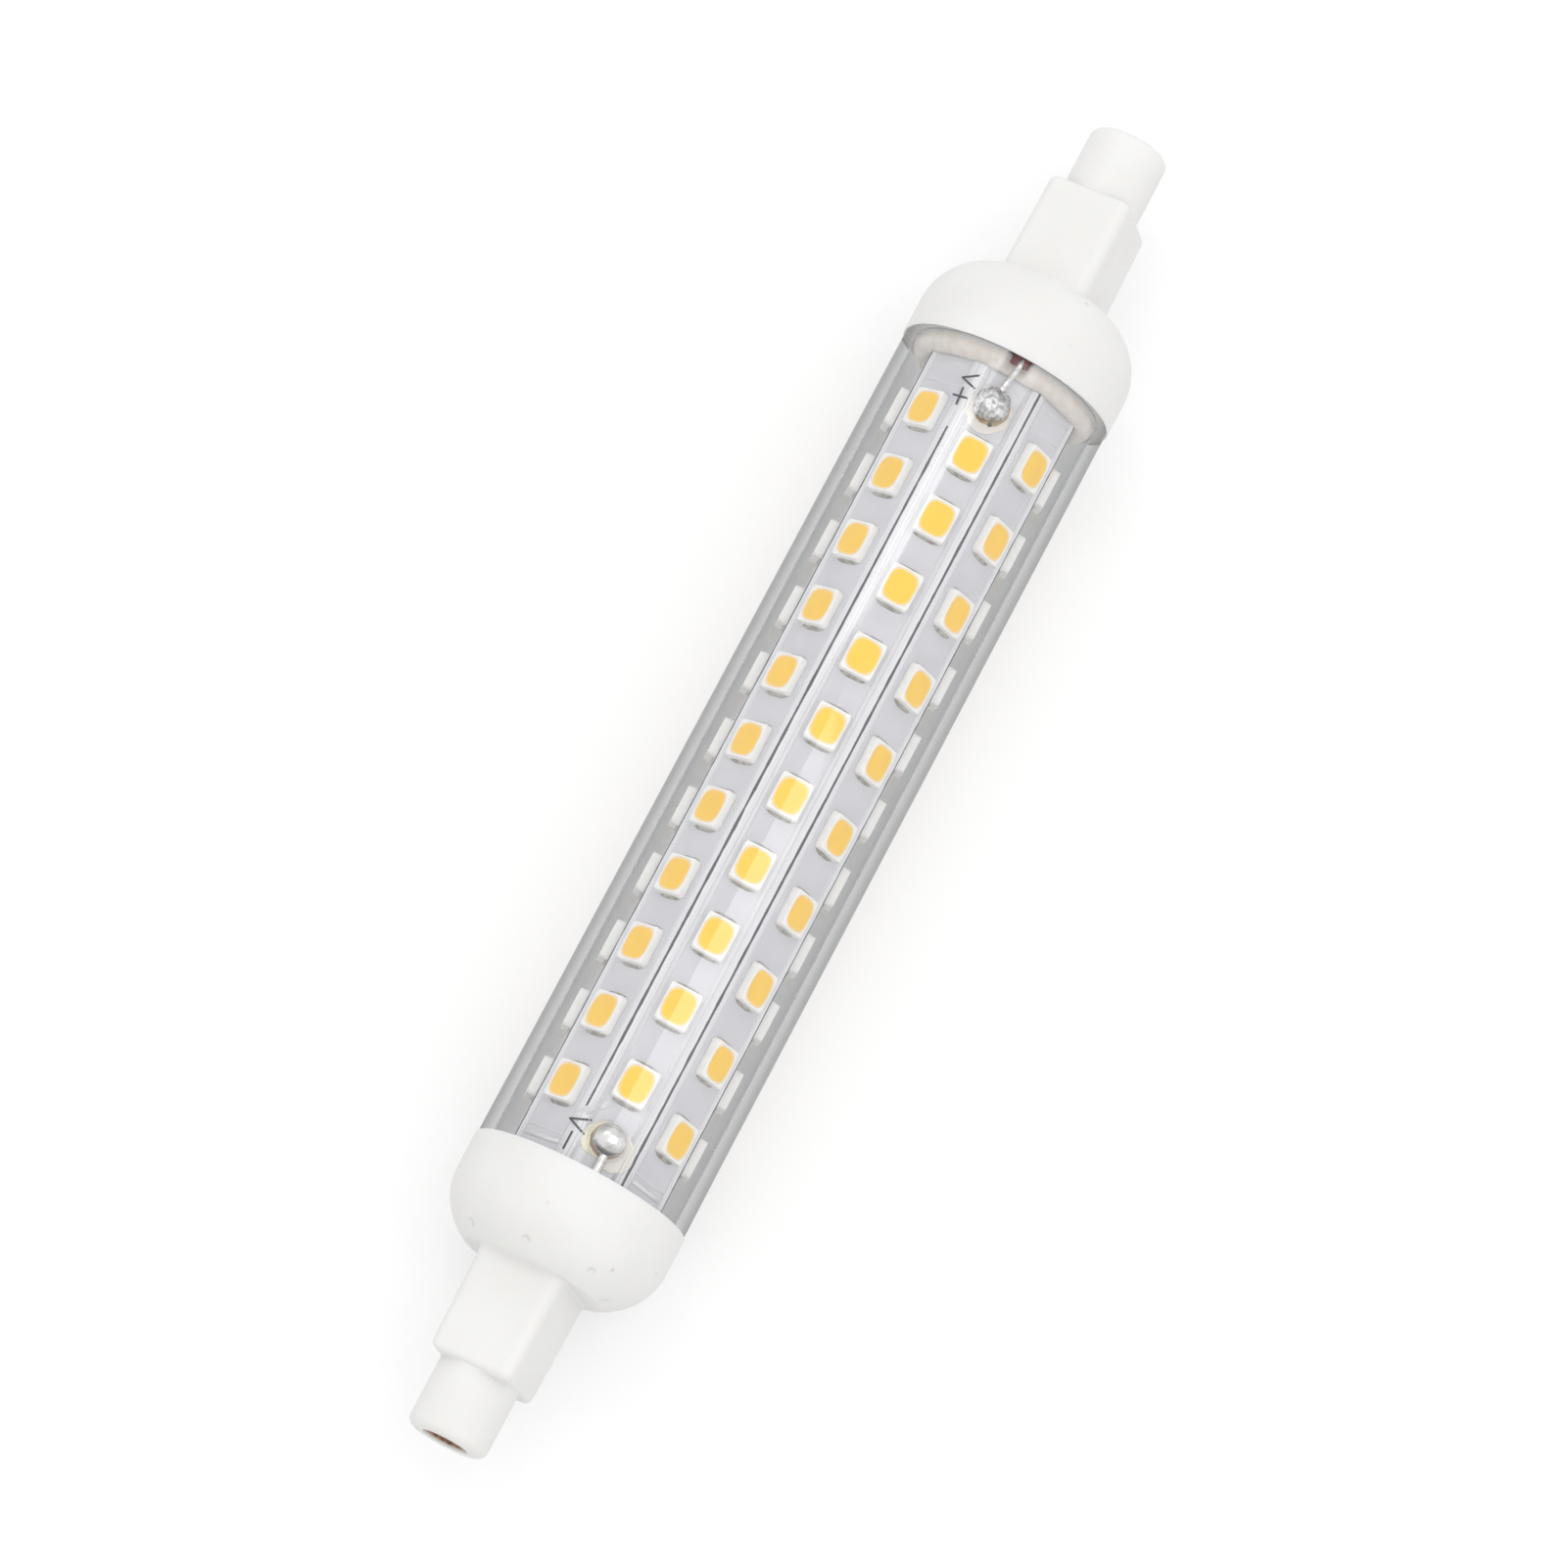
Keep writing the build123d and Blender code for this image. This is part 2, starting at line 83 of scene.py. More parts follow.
class Shape:
    """Points and faces of one piece, gathered in millimetres."""

    def __init__(self):
        self.points = []
        self.faces = []

    def ring(self, points):
        """Adds a closed row of points and returns their numbers."""
        start = len(self.points)
        self.points.extend(points)
        return list(range(start, start + len(points)))

    def skin(self, first, second):
        """Faces between two rings of the same length."""
        count = len(first)
        for index in range(count):
            after = (index + 1) % count
            self.faces.append((first[index], first[after], second[after], second[index]))

    def loft(self, rings, joined=False):
        """Skins a list of rings in order, and the last one to the first where joined."""
        numbers = [self.ring(points) for points in rings]
        for first, second in zip(numbers, numbers[1:]):
            self.skin(first, second)
        if joined:
            self.skin(numbers[-1], numbers[0])
        return numbers

    def close(self, ring):
        """A flat lid over a ring."""
        self.faces.append(tuple(ring))

    def solid(self, rings):
        """A loft with a lid at both ends."""
        numbers = self.loft(rings)
        self.close(numbers[0])
        self.close(numbers[-1])


def piece(name, shape, material, replaced=()):
    """Makes the gathered shape an object that rides on the lamp."""
    mesh = bpy.data.meshes.new(name)
    mesh.from_pydata([Vector(point) * 0.001 for point in shape.points], [], shape.faces)
    work = bmesh.new()
    work.from_mesh(mesh)
    bmesh.ops.recalc_face_normals(work, faces=work.faces)
    for face in work.faces:
        face.smooth = True
    work.to_mesh(mesh)
    work.free()
    mesh.materials.append(material)
    made = bpy.data.objects.new(name, mesh)
    bpy.context.scene.collection.objects.link(made)
    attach(made, "root")
    if replaced:
        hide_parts(*replaced)
    return made


def board_turned(point, angle=0.0):
    """A point given with its face looking up, turned to its face and with the board."""
    x, y, z = point
    turn = angle + BOARD_TURN
    return (x, y * math.cos(turn) - z * math.sin(turn), y * math.sin(turn) + z * math.cos(turn))


def wheel(count):
    """Angles evenly round a circle."""
    return [2 * math.pi * index / count for index in range(count)]


def lathe_ring(x, radius, angles):
    """A circle of points about the lamp's axis."""
    return [(x, radius * math.cos(angle), radius * math.sin(angle)) for angle in angles]


def arc(centre_x, centre_r, radius, start, stop, steps):
    """Points of a profile's corner, from one angle to another, as place along X and radius."""
    out = []
    for index in range(steps + 1):
        angle = math.radians(start + (stop - start) * index / steps)
        out.append((centre_x + radius * math.cos(angle), centre_r + radius * math.sin(angle)))
    return out


class Paint:
    """A material's node tree and the few steps that all the materials share."""

    def __init__(self, name, colour, roughness, **settings):
        self.material = bpy.data.materials.new(name)
        self.material.use_nodes = True
        self.tree = self.material.node_tree
        self.shader = self.tree.nodes["Principled BSDF"]
        self.output = self.tree.nodes["Material Output"]
        self.shader.inputs["Base Color"].default_value = (*colour, 1)
        self.shader.inputs["Roughness"].default_value = roughness
        for key, value in settings.items():
            self.shader.inputs[key.replace("_", " ")].default_value = value
        self.place = self.add("ShaderNodeTexCoord").outputs["Object"]

    def add(self, kind, **settings):
        node = self.tree.nodes.new(kind)
        for key, value in settings.items():
            setattr(node, key, value)
        return node

    def link(self, source, target):
        self.tree.links.new(source, target)

    def noise(self, size_mm, detail=3.0):
        """Soft noise whose blotches are about size_mm across."""
        node = self.add("ShaderNodeTexNoise")
        node.inputs["Scale"].default_value = 1000 / size_mm
        node.inputs["Detail"].default_value = detail
        self.link(self.place, node.inputs["Vector"])
        return node.outputs["Fac"]

    def math(self, operation, first, second=0.0, third=0.0):
        node = self.add("ShaderNodeMath", operation=operation)
        for socket, value in zip(node.inputs, (first, second, third)):
            if isinstance(value, (int, float)):
                socket.default_value = value
            else:
                self.link(value, socket)
        return node.outputs["Value"]

    def between(self, value, low, high, to_low=0.0, to_high=1.0):
        """Maps a value's range smoothly to another."""
        node = self.add("ShaderNodeMapRange", interpolation_type="SMOOTHSTEP")
        self.link(value, node.inputs["Value"])
        keys = ("From Min", "From Max", "To Min", "To Max")
        for key, number in zip(keys, (low, high, to_low, to_high)):
            node.inputs[key].default_value = number
        return node.outputs["Result"]

    def mix(self, share, first, second):
        """Colour between first and second, each a socket or a colour."""
        node = self.add("ShaderNodeMix", data_type="RGBA")
        if isinstance(share, (int, float)):
            node.inputs["Factor"].default_value = share
        else:
            self.link(share, node.inputs["Factor"])
        for key, value in (("A", first), ("B", second)):
            socket = [s for s in node.inputs if s.name == key and s.type == "RGBA"][0]
            if isinstance(value, tuple):
                socket.default_value = (*value, 1)
            else:
                self.link(value, socket)
        return [s for s in node.outputs if s.type == "RGBA"][0]

    def colour(self, socket):
        self.link(socket, self.shader.inputs["Base Color"])

    def roughness(self, socket):
        self.link(socket, self.shader.inputs["Roughness"])

    def bump(self, height, distance_mm, strength=1.0):
        """Surface relief whose full height is distance_mm. A second call adds to the first."""
        node = self.add("ShaderNodeBump")
        node.inputs["Distance"].default_value = distance_mm * 0.001
        node.inputs["Strength"].default_value = strength
        self.link(height, node.inputs["Height"])
        normal = self.shader.inputs["Normal"]
        if normal.is_linked:
            self.link(normal.links[0].from_socket, node.inputs["Normal"])
        self.link(node.outputs["Normal"], normal)


def plain_paint(name, colour, roughness, vary=0.06, grain_mm=0.6, relief_mm=0.01, **settings):
    """Moulded, tinned or glazed surface with slight unevenness in colour, gloss and relief."""
    paint = Paint(name, colour, roughness, **settings)
    grain = paint.noise(grain_mm)
    darker = tuple(channel * (1 - 2 * vary) for channel in colour)
    paint.colour(paint.mix(paint.between(grain, 0.3, 0.7), darker, colour))
    paint.roughness(paint.between(grain, 0.2, 0.8, roughness * 0.85, min(1.0, roughness * 1.2)))
    paint.bump(grain, relief_mm)
    return paint


def ceramic_paint():
    """Fired white ceramic, a little translucent: faint clouds, fine grain, a few pits and specks."""
    paint = Paint("ceramic", (0.86, 0.855, 0.84), 0.42, Specular_IOR_Level=0.4)
    paint.shader.subsurface_method = "RANDOM_WALK"
    paint.shader.inputs["Subsurface Weight"].default_value = 0.25
    paint.shader.inputs["Subsurface Radius"].default_value = (1.0, 0.82, 0.66)
    paint.shader.inputs["Subsurface Scale"].default_value = 0.0008
    clouds = paint.noise(7.0, 2.0)
    grain = paint.noise(0.35, 4.0)
    pits = paint.add("ShaderNodeTexVoronoi", feature="F1")
    pits.inputs["Scale"].default_value = 420
    pits.inputs["Randomness"].default_value = 1.0
    paint.link(paint.place, pits.inputs["Vector"])
    rare = paint.noise(2.4, 1.0)
    pit = paint.math(
        "MULTIPLY",
        paint.between(pits.outputs["Distance"], 0.0, 0.13, 1.0, 0.0),
        paint.between(rare, 0.6, 0.66),
    )
    body = paint.mix(paint.between(clouds, 0.35, 0.65), (0.84, 0.833, 0.815), (0.865, 0.861, 0.85))
    paint.colour(paint.mix(paint.math("MULTIPLY", pit, 0.6), body, (0.55, 0.51, 0.45)))
    paint.roughness(paint.between(grain, 0.2, 0.8, 0.36, 0.5))
    paint.bump(grain, 0.010)
    paint.bump(clouds, 0.10)
    paint.bump(paint.math("MULTIPLY", pit, -1.0), 0.05)
    for centre, size in DIMPLES:
        apart = paint.add("ShaderNodeVectorMath", operation="DISTANCE")
        paint.link(paint.place, apart.inputs[0])
        apart.inputs[1].default_value = Vector(centre) * 0.001
        away = apart.outputs["Value"]
        paint.bump(paint.between(away, size * 0.0002, size * 0.001), size * 0.27)
    return paint.material


def glass_paint():
    """Clear sleeve, glossy and open to light, greyer where it is seen edge on and in its lower half: partly
    grey glass, mostly painted shade for the shaded floor seen through it.
    """
    paint = Paint("clear_sleeve", (0.97, 0.975, 0.98), 0.0, Transmission_Weight=1.0, IOR=1.01,
                  Coat_Weight=1.0, Coat_Roughness=0.05, Coat_IOR=1.5)
    edge_on = paint.add("ShaderNodeLayerWeight")
    edge_on.inputs["Blend"].default_value = 0.5
    facing = edge_on.outputs["Facing"]
    split = paint.add("ShaderNodeSeparateXYZ")
    paint.link(paint.place, split.inputs["Vector"])
    # Painted shade: the lower half is tinted much greyer, for the shaded floor under the lamp seen through the
    # glass.
    low = paint.between(split.outputs["Z"], -0.0015, 0.0015, 1.0, 0.0)
    wall = paint.between(paint.math("ABSOLUTE", split.outputs["X"]), 0.0365, 0.0367, 1.0, 0.0)
    clear, upper, shaded_lower = (0.985, 0.986, 0.988), (0.92, 0.922, 0.925), (0.50, 0.505, 0.515)
    rim = paint.mix(low, upper, shaded_lower)
    # Seen edge on the glass turns grey: partly grey glass, partly painted shade.
    tint = paint.mix(paint.math("MULTIPLY", paint.between(facing, 0.2, 0.4), wall), clear, rim)
    square = [paint.math("MULTIPLY", split.outputs[key], split.outputs[key]) for key in "YZ"]
    outer = paint.between(paint.math("ADD", *square), 7.0e-5, 7.3e-5, 0.55, 1.0)
    # Painted shade: the outer wall seen nearly edge on darkens further, towards the grey of the shaded floor
    # seen through it.
    edge_shade = paint.between(facing, 0.5, 0.78, 0.0, 0.95)
    edge = paint.math("MULTIPLY", edge_shade, paint.math("MULTIPLY", wall, outer))
    paint.colour(paint.mix(edge, tint, (0.42, 0.425, 0.435)))
    gloss = paint.math("MULTIPLY", paint.between(facing, 0.45, 0.9, 1.0, 0.15), wall)
    paint.link(gloss, paint.shader.inputs["Coat Weight"])
    path = paint.add("ShaderNodeLightPath")
    through = paint.add("ShaderNodeBsdfTransparent")
    through.inputs["Color"].default_value = (0.985, 0.986, 0.988, 1)
    blend = paint.add("ShaderNodeMixShader")
    unseen = paint.math("MAXIMUM", path.outputs["Is Shadow Ray"], path.outputs["Is Diffuse Ray"])
    paint.link(unseen, blend.inputs["Fac"])
    paint.link(paint.shader.outputs["BSDF"], blend.inputs[1])
    paint.link(through.outputs["BSDF"], blend.inputs[2])
    paint.link(blend.outputs["Shader"], paint.output.inputs["Surface"])
    return paint.material


def board_paint():
    """Lavender-grey solder mask over copper on the outside, bare aluminium inside, dark score lines."""
    paint = Paint("board_mask", (0.66, 0.65, 0.70), 0.42, Specular_IOR_Level=0.5)
    spread = paint.add("ShaderNodeSeparateXYZ")
    paint.link(paint.place, spread.inputs["Vector"])
    x, y, z = (spread.outputs[key] for key in "XYZ")
    turn = paint.math("ARCTAN2", paint.math("MULTIPLY", y, -1.0), z)
    eighth = math.radians(45)
    shifted = paint.math("ADD", turn, eighth / 2 + 4 * math.pi - BOARD_TURN)
    number = paint.math("FLOOR", paint.math("DIVIDE", shifted, eighth))
    inside = paint.math("SUBTRACT", shifted, paint.math("MULTIPLY", number, eighth))
    from_middle = paint.math("SUBTRACT", inside, eighth / 2)
    across = paint.math("MULTIPLY", paint.math("TANGENT", from_middle), BOARD_APOTHEM)
    off_middle = paint.math("ABSOLUTE", across)
    squares = [paint.math("MULTIPLY", part, part) for part in (y, z)]
    radius = paint.math("SQRT", paint.math("ADD", *squares))
    flat = paint.math("MULTIPLY", radius, paint.math("COSINE", from_middle))
    outside = paint.between(flat, 0.001 * (BOARD_APOTHEM - 0.45), 0.001 * (BOARD_APOTHEM - 0.4))
    half_face = BOARD_APOTHEM * math.tan(eighth / 2)
    wobble = paint.math("MULTIPLY", paint.math("SUBTRACT", paint.noise(1.6, 3.0), 0.5), 0.16)
    groove = paint.between(paint.math("ADD", off_middle, wobble), half_face - 0.15, half_face - 0.09)
    pour = paint.between(off_middle, half_face - 0.62, half_face - 0.54)
    clouds = paint.noise(3.5, 2.0)
    grain = paint.noise(0.25, 3.0)
    mask = paint.mix(paint.between(clouds, 0.35, 0.65), (0.615, 0.612, 0.645), (0.65, 0.648, 0.68))
    mask = paint.mix(paint.math("MULTIPLY", pour, 0.8), mask, (0.83, 0.825, 0.85))
    left_fold = paint.math("COMPARE", turn, BOARD_TURN - eighth / 2, 0.1)
    beyond = paint.math("GREATER_THAN", paint.math("ABSOLUTE", paint.math("ADD", x, 0.00125)), 0.03065)
    faded = paint.math("MULTIPLY", paint.math("MULTIPLY", left_fold, beyond), -0.85)
    groove = paint.math("MULTIPLY", groove, paint.math("ADD", faded, 1.0))
    mask = paint.mix(groove, mask, (0.07, 0.07, 0.085))
    paint.colour(paint.mix(outside, (0.62, 0.61, 0.60), mask))
    paint.roughness(paint.between(grain, 0.2, 0.8, 0.34, 0.5))
    paint.bump(grain, 0.006)
    paint.bump(paint.between(off_middle, half_face - 0.66, half_face - 0.5, 1.0, 0.0), 0.03)
    return paint.material


def housing_paint():
    """Moulded white package, creamy all over, the cream standing for light come through the fill beside it;
    faint grain.
    """
    paint = Paint("led_housing", (0.88, 0.86, 0.83), 0.34, Subsurface_Weight=0.1, Subsurface_Scale=0.0004)
    grain = paint.noise(0.5, 3.0)
    paint.colour(paint.mix(paint.between(grain, 0.3, 0.7), (0.89, 0.87, 0.83), (0.93, 0.915, 0.885)))
    paint.roughness(paint.between(grain, 0.2, 0.8, 0.3, 0.45))
    paint.bump(grain, 0.008)
    return paint.material


def phosphor_paint(name, rich, pale):
    """Soft fill with phosphor powder, paler towards the window's edge."""
    paint = Paint(name, rich, 0.3, Specular_IOR_Level=0.4)
    powder = paint.noise(0.12, 4.0)
    clouds = paint.noise(1.5, 1.0)
    edge = paint.add("ShaderNodeAttribute", attribute_name="edge")
    fill = paint.mix(paint.between(clouds, 0.3, 0.7), rich, tuple(c * 0.96 for c in rich))
    fill = paint.mix(paint.math("MULTIPLY", paint.between(powder, 0.4, 0.7), 0.04), fill, pale)
    paint.colour(paint.mix(edge.outputs["Fac"], fill, pale))
    paint.roughness(paint.between(powder, 0.2, 0.8, 0.26, 0.4))
    paint.bump(powder, 0.004)
    return paint.material


def metal_paint(name, dark, light, roughness, grain_mm, relief_mm, metal=1.0):
    """Metal between two tones, with patches of gloss and relief."""
    paint = Paint(name, light, roughness, Metallic=metal)
    patches = paint.noise(grain_mm, 4.0)
    fine = paint.noise(grain_mm / 5, 3.0)
    paint.colour(paint.mix(paint.between(patches, 0.35, 0.62), dark, light))
    paint.roughness(paint.between(fine, 0.25, 0.75, roughness * 0.75, min(1.0, roughness * 1.35)))
    paint.bump(patches, relief_mm)
    paint.bump(fine, relief_mm * 0.3)
    return paint.material


def sealant_paint():
    """Soft white silicone, yellowed where it faces the board, and painted near white under the cap's rim to
    lift the rim's shade.
    """
    paint = Paint("sealant", (0.78, 0.725, 0.67), 0.45, Subsurface_Weight=0.7, Subsurface_Scale=0.0018,
                  Subsurface_Radius=(1.0, 0.92, 0.84))
    blotch = paint.noise(0.8, 3.0)
    split = paint.add("ShaderNodeSeparateXYZ")
    paint.link(paint.place, split.inputs["Vector"])
    aged = paint.mix(paint.between(blotch, 0.3, 0.7), (0.71, 0.65, 0.59), (0.79, 0.735, 0.68))
    # Painted light: near white under the cap's rim, to offset the shade that the rim casts there.
    paint.colour(paint.mix(paint.between(split.outputs["X"], 0.0362, 0.0366), aged, (0.95, 0.925, 0.895)))
    paint.bump(blotch, 0.05)
    return paint.material


def bright_solder_paint():
    """Smooth shiny solder, with darker patches painted in as reflections of dark surroundings, and brown flux
    left round its foot.
    """
    paint = Paint("joint_solder_bright", (0.78, 0.775, 0.765), 0.13, Metallic=1.0)
    patches = paint.noise(1.1, 4.0)
    split = paint.add("ShaderNodeSeparateXYZ")
    paint.link(paint.place, split.inputs["Vector"])
    level = paint.math("ADD", split.outputs["Z"], paint.math("MULTIPLY", patches, 0.0004))
    foot = paint.between(level, 0.00685, 0.00735, 0.85, 0.0)
    # Painted reflections: the darker patches stand for dark surroundings mirrored in the shiny solder.
    bare = paint.mix(paint.between(patches, 0.35, 0.62), (0.52, 0.515, 0.505), (0.80, 0.795, 0.785))
    paint.colour(paint.mix(foot, bare, (0.36, 0.29, 0.22)))
    paint.roughness(paint.math("ADD", paint.math("MULTIPLY", foot, 0.3), 0.12))
    paint.bump(patches, 0.02)
    return paint.material


def flux_paint(name, colour, edge_colour):
    """Thin dried flux, a stained varnish on the board."""
    paint = Paint(name, colour, 0.25, Specular_IOR_Level=0.6)
    blotch = paint.noise(0.7, 3.0)
    paint.colour(paint.mix(paint.between(blotch, 0.4, 0.65), colour, edge_colour))
    paint.bump(blotch, 0.02)
    return paint.material


CERAMIC = ceramic_paint()
GLASS = glass_paint()
BOARD = board_paint()
HOUSING = housing_paint()
PHOSPHOR = phosphor_paint("led_phosphor_front", (0.99, 0.635, 0.028), (0.97, 0.79, 0.60))
# Painted sheen: the fills on the slanted faces are the same as the front ones; this paler, more orange copy
# stands for how they look at a slant.
PHOSPHOR_SIDE = phosphor_paint("led_phosphor_side", (0.99, 0.61, 0.07), (0.97, 0.77, 0.60))
FILLET = metal_paint("solder_fillet", (0.34, 0.32, 0.28), (0.56, 0.54, 0.50), 0.5, 0.5, 0.012, 0.55)
DULL_SOLDER = metal_paint("joint_solder_dull", (0.36, 0.36, 0.36), (0.78, 0.78, 0.78), 0.26, 0.35, 0.08)
BRIGHT_SOLDER = bright_solder_paint()
TINNED = metal_paint("tinned_wire", (0.60, 0.59, 0.57), (0.84, 0.83, 0.81), 0.26, 0.4, 0.015)
CONTACT = metal_paint("contact_metal", (0.17, 0.09, 0.055), (0.40, 0.25, 0.16), 0.5, 0.5, 0.03, 0.6)
FLUX = flux_paint("flux_brown", (0.34, 0.22, 0.10), (0.52, 0.40, 0.24))
# Near-black paint for a small dark spot at the foot of the V+ joint.
DARK_SPOT = flux_paint("dark_spot", (0.05, 0.035, 0.02), (0.12, 0.07, 0.03))
YELLOW_FLUX = flux_paint("flux_yellow", (0.76, 0.72, 0.50), (0.78, 0.75, 0.62))
PALE_FLUX = flux_paint("flux_pale", (0.78, 0.74, 0.66), (0.76, 0.72, 0.68))
MARK = plain_paint("printed_mark", (0.05, 0.05, 0.06), 0.5, 0.1, 0.2, 0.004).material
TRACE = plain_paint("masked_copper_edge", (0.80, 0.795, 0.82), 0.38, 0.02, 0.4, 0.004).material
SEALANT = sealant_paint()
RED = plain_paint("red_insulation", (0.20, 0.014, 0.018), 0.4, 0.12, 0.5, 0.02).material


def neck_reach(angle, growth):
    """Distance from the axis to the neck's rounded outline, grown outwards, in one direction."""
    across, up = abs(math.cos(angle - NECK_TURN)), abs(math.sin(angle - NECK_TURN))
    half_width, half_depth = NECK_HALF_WIDTH + growth, NECK_HALF_DEPTH + growth
    corner = NECK_CORNER + growth
    reach = min(half_width / max(across, 1e-9), half_depth / max(up, 1e-9))
    if reach * across > half_width - corner and reach * up > half_depth - corner:
        centre_x, centre_y = half_width - corner, half_depth - corner
        along = centre_x * across + centre_y * up
        inner = centre_x**2 + centre_y**2 - corner**2
        reach = along + math.sqrt(max(along**2 - inner, 0.0))
    return reach


def cap_angles():
    """Directions round a cap, close together at the neck's corners."""
    start = math.atan2(NECK_HALF_DEPTH - NECK_CORNER, NECK_HALF_WIDTH)
    stop = math.atan2(NECK_HALF_DEPTH, NECK_HALF_WIDTH - NECK_CORNER)
    quarter = [start * index / 16 for index in range(16)]
    quarter += [start + (stop - start) * index / 12 for index in range(12)]
    quarter += [stop + (math.pi / 2 - stop) * index / 14 for index in range(14)]
    half = quarter + [math.pi - angle for angle in [math.pi / 2] + quarter[:0:-1]]
    return [angle + turn + NECK_TURN for turn in (0.0, math.pi) for angle in half]


def end_cap(name, side):
    """A ceramic cap: rounded dome, squared neck with soft corners, round post with a recess, ribbed cavity."""
    angles = cap_angles()
    rings = []

    def circle(x, radius):
        rings.append([(side * x, radius * math.cos(a), radius * math.sin(a)) for a in angles])

    def square(x, growth, least=0.0):
        reach = [max(neck_reach(a, growth), least) for a in angles]
        rings.append([(side * x, r * math.cos(a), r * math.sin(a)) for a, r in zip(angles, reach)])

    for x, radius in ((SEAT_X, CAP_BORE + 0.12), (SEAT_X, LIP_BORE), (RIM_X + 0.02, LIP_BORE)):
        circle(x, radius)
    for x, radius in arc(RIM_X + 0.1, CAP_RADIUS - 0.1, 0.1, 180, 90, 4):
        circle(x, radius)
    for x in (37.2, 38.2, 39.2):
        circle(x, CAP_RADIUS)
    low = CAP_RADIUS - DOME_HALF_HEIGHT
    for index in range(17):
        angle = math.radians(90 - 60 * index / 16)
        circle(DOME_X + DOME_HALF_LENGTH * math.cos(angle), low + DOME_HALF_HEIGHT * math.sin(angle))
    for x, radius in ((44.26, 6.10), (44.32, 5.95), (DOME_TOP_X, 5.78)):
        circle(x, radius)
    foot = NECK_DRAFT * (SHOULDER_X - DOME_TOP_X)
    fillet = 0.4
    for index in range(6):
        angle = math.radians(18 * index)
        square(DOME_TOP_X + fillet * (1 - math.cos(angle)), foot + fillet * (1 - math.sin(angle)))
    for x in (45.4, 47.2, 49.0, 50.8, 52.0):
        square(x, NECK_DRAFT * (SHOULDER_X - x))
    soft = 0.55
    for index in range(7):
        angle = math.radians(15 * index)
        square(SHOULDER_X - soft * (1 - math.sin(angle)), -soft * (1 - math.cos(angle)), POST_RADIUS)
    for x in (53.3, 54.5, 56.0, 57.4):
        circle(x, POST_RADIUS)
    for x, radius in arc(POST_END_X - 0.8, POST_RADIUS - 0.8, 0.8, 90, 0, 7):
        circle(x, radius)
    for x, radius in arc(POST_END_X - 0.1, RECESS_RADIUS + 0.1, 0.1, 0, -90, 4):
        circle(x, radius)
    for x, radius in ((57.8, RECESS_RADIUS), (56.6, RECESS_RADIUS), (RECESS_FLOOR_X, RECESS_RADIUS - 0.15)):
        circle(x, radius)
    for x, radius in ((RECESS_FLOOR_X, STEM_BORE + 0.15), (RECESS_FLOOR_X - 0.2, STEM_BORE),
                      (CAVITY_FLOOR_X + 0.2, STEM_BORE), (CAVITY_FLOOR_X, STEM_BORE + 0.2)):
        circle(x, radius)
    for x, radius in ((CAVITY_FLOOR_X, 4.6), (CAVITY_FLOOR_X - 0.2, 5.0), (39.75, 7.6), (39.15, CAP_BORE),
                      (SEAT_X + 0.12, CAP_BORE)):
        circle(x, radius)
    shape = Shape()
    shape.loft(rings, joined=True)
    for index in range(4):
        angle = BOARD_TURN + math.radians(45 + 90 * index)
        outline = ((38.5, 4.35), (38.5, 8.3), (40.65, 8.3), (43.35, 6.9), (43.35, 4.35))
        rings = []
        for y in (-0.6, -0.5, 0.5, 0.6):
            inset = 0.1 if abs(y) > 0.55 else 0.0
            middle = (41.2, 6.3)
            row = []
            for x, z in outline:
                x, z = x + (middle[0] - x) * inset / 3, z + (middle[1] - z) * inset / 2
                row.append((side * x, y * math.cos(angle) - z * math.sin(angle),
                            y * math.sin(angle) + z * math.cos(angle)))
            rings.append(row)
        shape.solid(rings)
    return piece(name + "_fired", shape, CERAMIC, [name])


def lathe(profile, segments, side=1):
    """A closed turned shape about the lamp's axis, from its profile's first to its last point."""
    shape = Shape()
    angles = wheel(segments)
    rings = [[(side * x, y, z) for x, y, z in lathe_ring(x, radius, angles)] for x, radius in profile]
    shape.solid(rings)
    return shape


def contact(name, side):
    """Metal cup that lines the recess, with a rolled lip and a crowned floor, on its stem."""
    profile = [(52.4, 0.3), (52.42, 0.55), (52.5, 0.6), (56.3, 0.6), (56.4, 0.75), (56.42, 1.7)]
    profile += arc(56.57, 1.7, 0.15, -90, 90, 5)[1:3] + [(56.6, 1.85), (57.6, 1.85), (58.6, 1.88)]
    profile += arc(58.66, 1.74, 0.14, 90, -90, 8)
    profile += [(58.0, 1.55), (57.1, 1.55), (56.95, 1.5), (56.9, 1.38), (56.95, 1.2), (57.1, 0.85),
                (57.2, 0.5), (57.24, 0.2), (57.25, 0.04)]
    return piece(name + "_turned", lathe(profile, 72, side), CONTACT, [name])


def sleeve():
    """Clear tube with softly melted ends."""
    shape = Shape()
    angles = wheel(220)
    end, soft = SEAT_X - 0.005, 0.12
    profile = arc(end - soft, TUBE_RADIUS - soft, soft, 0, 90, 4)
    profile += [(x, TUBE_RADIUS) for x in (30, 20, 10, 0, -10, -20, -30)]
    profile += arc(-end + soft, TUBE_RADIUS - soft, soft, 90, 180, 4)
    profile += arc(-end + soft, TUBE_BORE + soft, soft, 180, 270, 4)
    profile += [(x, TUBE_BORE) for x in (-30, -20, -10, 0, 10, 20, 30)]
    profile += arc(end - soft, TUBE_BORE + soft, soft, -90, 0, 4)
    shape.loft([lathe_ring(x, r, angles) for x, r in profile], joined=True)
    return piece("tube_clear", shape, GLASS, ["tube"])


